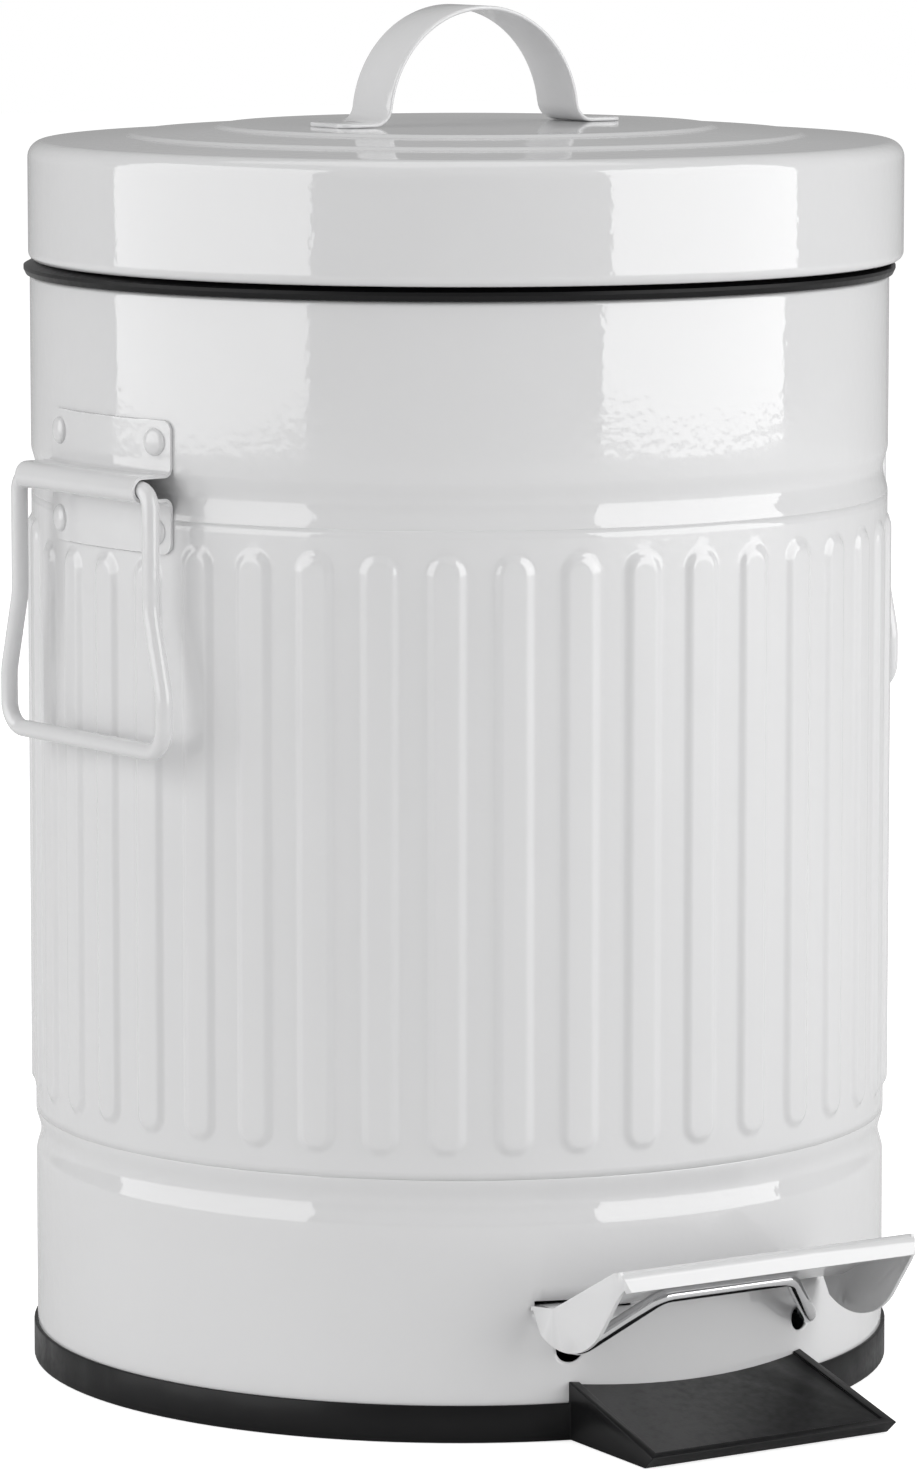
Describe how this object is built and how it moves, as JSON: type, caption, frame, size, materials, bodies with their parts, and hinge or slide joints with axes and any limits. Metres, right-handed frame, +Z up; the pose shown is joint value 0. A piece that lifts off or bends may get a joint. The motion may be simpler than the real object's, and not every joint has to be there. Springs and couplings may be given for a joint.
{
  "type": "pedal bin",
  "caption": "Round step-on waste bin of ribbed white enamelled steel with black base ring, front pedal, hinged lid with strap handle, side bail handles and lift-out bucket",
  "frame": {"origin": "on the body's axis, at the plane of the base ring that stands on the floor", "axes": "+Z up; the pedal faces -Y; the lid hinge is at +Y; the side handles are near -X and +X"},
  "size_m": [0.225, 0.2459, 0.3253],
  "materials": {
    "white_enamel": "gloss white enamel on sheet steel",
    "black_plastic": "satin black moulded plastic",
    "bright_steel": "bright drawn wire",
    "zinc_plate": "zinc plated sheet"
  },
  "bodies": {
    "body": {"body_shell": "white_enamel", "base_ring": "black_plastic", "bottom_plate": "white_enamel", "inner_bucket": "black_plastic", "hinge_bracket": "white_enamel", "hinge_bracket_rivets": "white_enamel", "hinge_pin": "bright_steel", "rod_guide": "zinc_plate", "fulcrum_bracket": "zinc_plate", "fulcrum_shaft": "bright_steel", "handle_bracket_left": "white_enamel", "handle_bracket_right": "white_enamel", "handle_rivets_left": "white_enamel", "handle_rivets_right": "white_enamel"},
    "lid": {"lid_shell": "white_enamel", "lid_strap": "white_enamel", "lid_hinge_plate": "white_enamel", "lid_hinge_rivets": "white_enamel"},
    "bucket_bail": {"bucket_bail": "bright_steel"},
    "push_rod": {"push_rod": "bright_steel"},
    "lever": {"lever_wire": "bright_steel", "lever_sleeves": "zinc_plate"},
    "pedal": {"pedal": "white_enamel"},
    "side_bail_left": {"side_bail_left": "white_enamel"},
    "side_bail_right": {"side_bail_right": "white_enamel"}
  },
  "joints": [
    {"name": "lid_hinge", "type": "hinge", "parent": "body", "child": "lid", "pos_m": [0, 0.1075, 0.24603], "axis": [-1, 0, 0], "range_deg": [0, 80]},
    {"name": "pedal_hinge", "type": "hinge", "parent": "body", "child": "pedal", "pos_m": [0, -0.0976, 0.0316], "axis": [1, 0, 0], "range_deg": [0, 14.41]},
    {"name": "lever_pivot", "type": "hinge", "parent": "body", "child": "lever", "pos_m": [0, -0.08, 0.01702], "axis": [1, 0, 0], "range_deg": [0, 6.31]},
    {"name": "push_rod_slide", "type": "slide", "parent": "body", "child": "push_rod", "axis": [0, 0, 1], "range_m": [0, 0.0193]},
    {"name": "bucket_bail_hinge", "type": "hinge", "parent": "body", "child": "bucket_bail", "pos_m": [0, 0, 0.26721], "axis": [-1, 0, 0], "range_deg": [0, 12]},
    {"name": "side_bail_left_hinge", "type": "hinge", "parent": "body", "child": "side_bail_left", "pos_m": [-0.10764, -0.00753, 0.21753], "axis": [-0.0698, 0.9976, 0], "range_deg": [0, 170]},
    {"name": "side_bail_right_hinge", "type": "hinge", "parent": "body", "child": "side_bail_right", "pos_m": [0.10764, 0.00753, 0.21753], "axis": [0.0698, -0.9976, 0], "range_deg": [0, 170]}
  ],
  "couplings": [
    {"joint": "pedal_hinge", "follows": "lid_hinge", "ratio": 0.18016},
    {"joint": "lever_pivot", "follows": "lid_hinge", "ratio": 0.078816},
    {"joint": "push_rod_slide", "follows": "lid_hinge", "m_per_rad": 0.013822}
  ]
}
